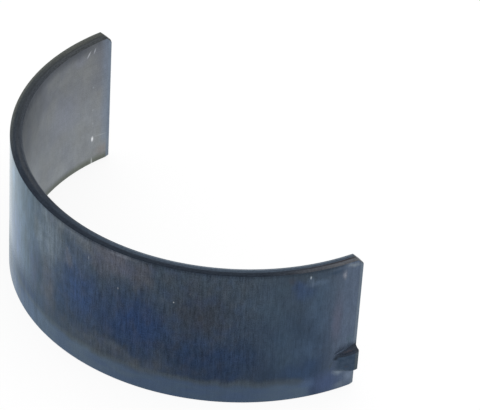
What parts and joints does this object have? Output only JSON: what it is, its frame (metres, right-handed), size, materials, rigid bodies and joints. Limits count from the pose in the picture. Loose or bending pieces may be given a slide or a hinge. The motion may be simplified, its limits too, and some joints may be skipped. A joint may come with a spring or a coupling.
{
  "type": "engine bearing shell",
  "caption": "Half-round plain bearing shell of thin lined steel strip, with chamfered edges and a pressed-out locating tang beside one joint face, to carry a crank journal.",
  "frame": {"origin": "middle of the bore's axis, halfway along the shell's width", "axes": "+Z along the journal axis, away from the side edge that the tang is near; the crown points to -Y, and the joint face with the tang is at +X"},
  "size_m": [0.0561, 0.0267, 0.0194],
  "materials": {
    "shell": "satin, brushed along the axis, dark blue and brown heat tint on the back and plain grey in the bore"
  },
  "bodies": {
    "root": {"bearing_shell": "shell"}
  },
  "joints": []
}
